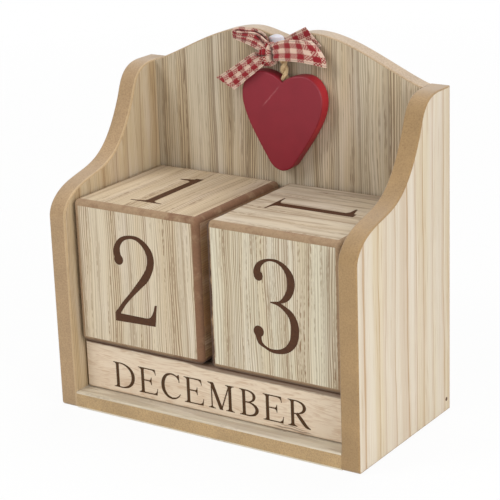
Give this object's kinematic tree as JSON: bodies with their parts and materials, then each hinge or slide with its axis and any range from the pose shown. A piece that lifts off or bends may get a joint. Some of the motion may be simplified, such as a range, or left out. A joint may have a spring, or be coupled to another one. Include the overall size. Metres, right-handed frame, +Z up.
{
  "type": "perpetual desk calendar",
  "caption": "Open-fronted wooden box with an arched back that holds numbered cubes on month bars, with a painted heart hung on twine from a ribbon bow.",
  "frame": {"origin": "middle of the underside, where the calendar stands", "axes": "+Z up, -Y out of the open front, +X to the right as seen from the front"},
  "size_m": [0.15, 0.077, 0.1613],
  "materials": {
    "board": "raw sanded fibreboard",
    "veneer": "pale limed veneer, matt",
    "block": "raw sanded arrises",
    "bar": "pale wood, matt",
    "paint": "dark red paint, satin",
    "twine": "twisted jute",
    "ribbon": "woven check",
    "glue": "translucent"
  },
  "bodies": {
    "box": {"left_side_core": "board", "left_side_outer_veneer": "veneer", "left_side_inner_veneer": "veneer", "right_side_core": "board", "right_side_outer_veneer": "veneer", "right_side_inner_veneer": "veneer", "back_panel_core": "board", "back_panel_front_veneer": "veneer", "back_panel_rear_veneer": "veneer", "base_core": "board", "base_top_veneer": "veneer", "base_bottom_veneer": "veneer", "ribbon_bow": "ribbon", "glue_dab": "glue"},
    "left_cube": {"left_cube_block": "block", "left_cube_front_face": "veneer", "left_cube_rear_face": "veneer", "left_cube_left_face": "veneer", "left_cube_right_face": "veneer", "left_cube_top_face": "veneer", "left_cube_bottom_face": "veneer"},
    "right_cube": {"right_cube_block": "block", "right_cube_front_face": "veneer", "right_cube_rear_face": "veneer", "right_cube_left_face": "veneer", "right_cube_right_face": "veneer", "right_cube_top_face": "veneer", "right_cube_bottom_face": "veneer"},
    "rear_bar": {"rear_month_bar": "bar"},
    "middle_bar": {"middle_month_bar": "bar"},
    "front_bar": {"front_month_bar": "bar"},
    "hanging_heart": {"heart_pendant": "paint", "heart_twine": "twine"}
  },
  "joints": [
    {"name": "left_cube_slide", "type": "slide", "parent": "box", "child": "left_cube", "axis": [0, -1, 0], "range_m": [0, 0.07]},
    {"name": "right_cube_slide", "type": "slide", "parent": "box", "child": "right_cube", "axis": [0, -1, 0], "range_m": [0, 0.07]},
    {"name": "rear_bar_slide", "type": "slide", "parent": "box", "child": "rear_bar", "axis": [0, -1, 0], "range_m": [0, 0.07]},
    {"name": "middle_bar_slide", "type": "slide", "parent": "rear_bar", "child": "middle_bar", "axis": [0, -1, 0], "range_m": [0, 0.05]},
    {"name": "front_bar_slide", "type": "slide", "parent": "middle_bar", "child": "front_bar", "axis": [0, -1, 0], "range_m": [0, 0.03]},
    {"name": "heart_swing", "type": "hinge", "parent": "box", "child": "hanging_heart", "pos_m": [0.00274, 0.0256, 0.15], "axis": [0, 1, 0], "range_deg": [-15, 15]}
  ]
}
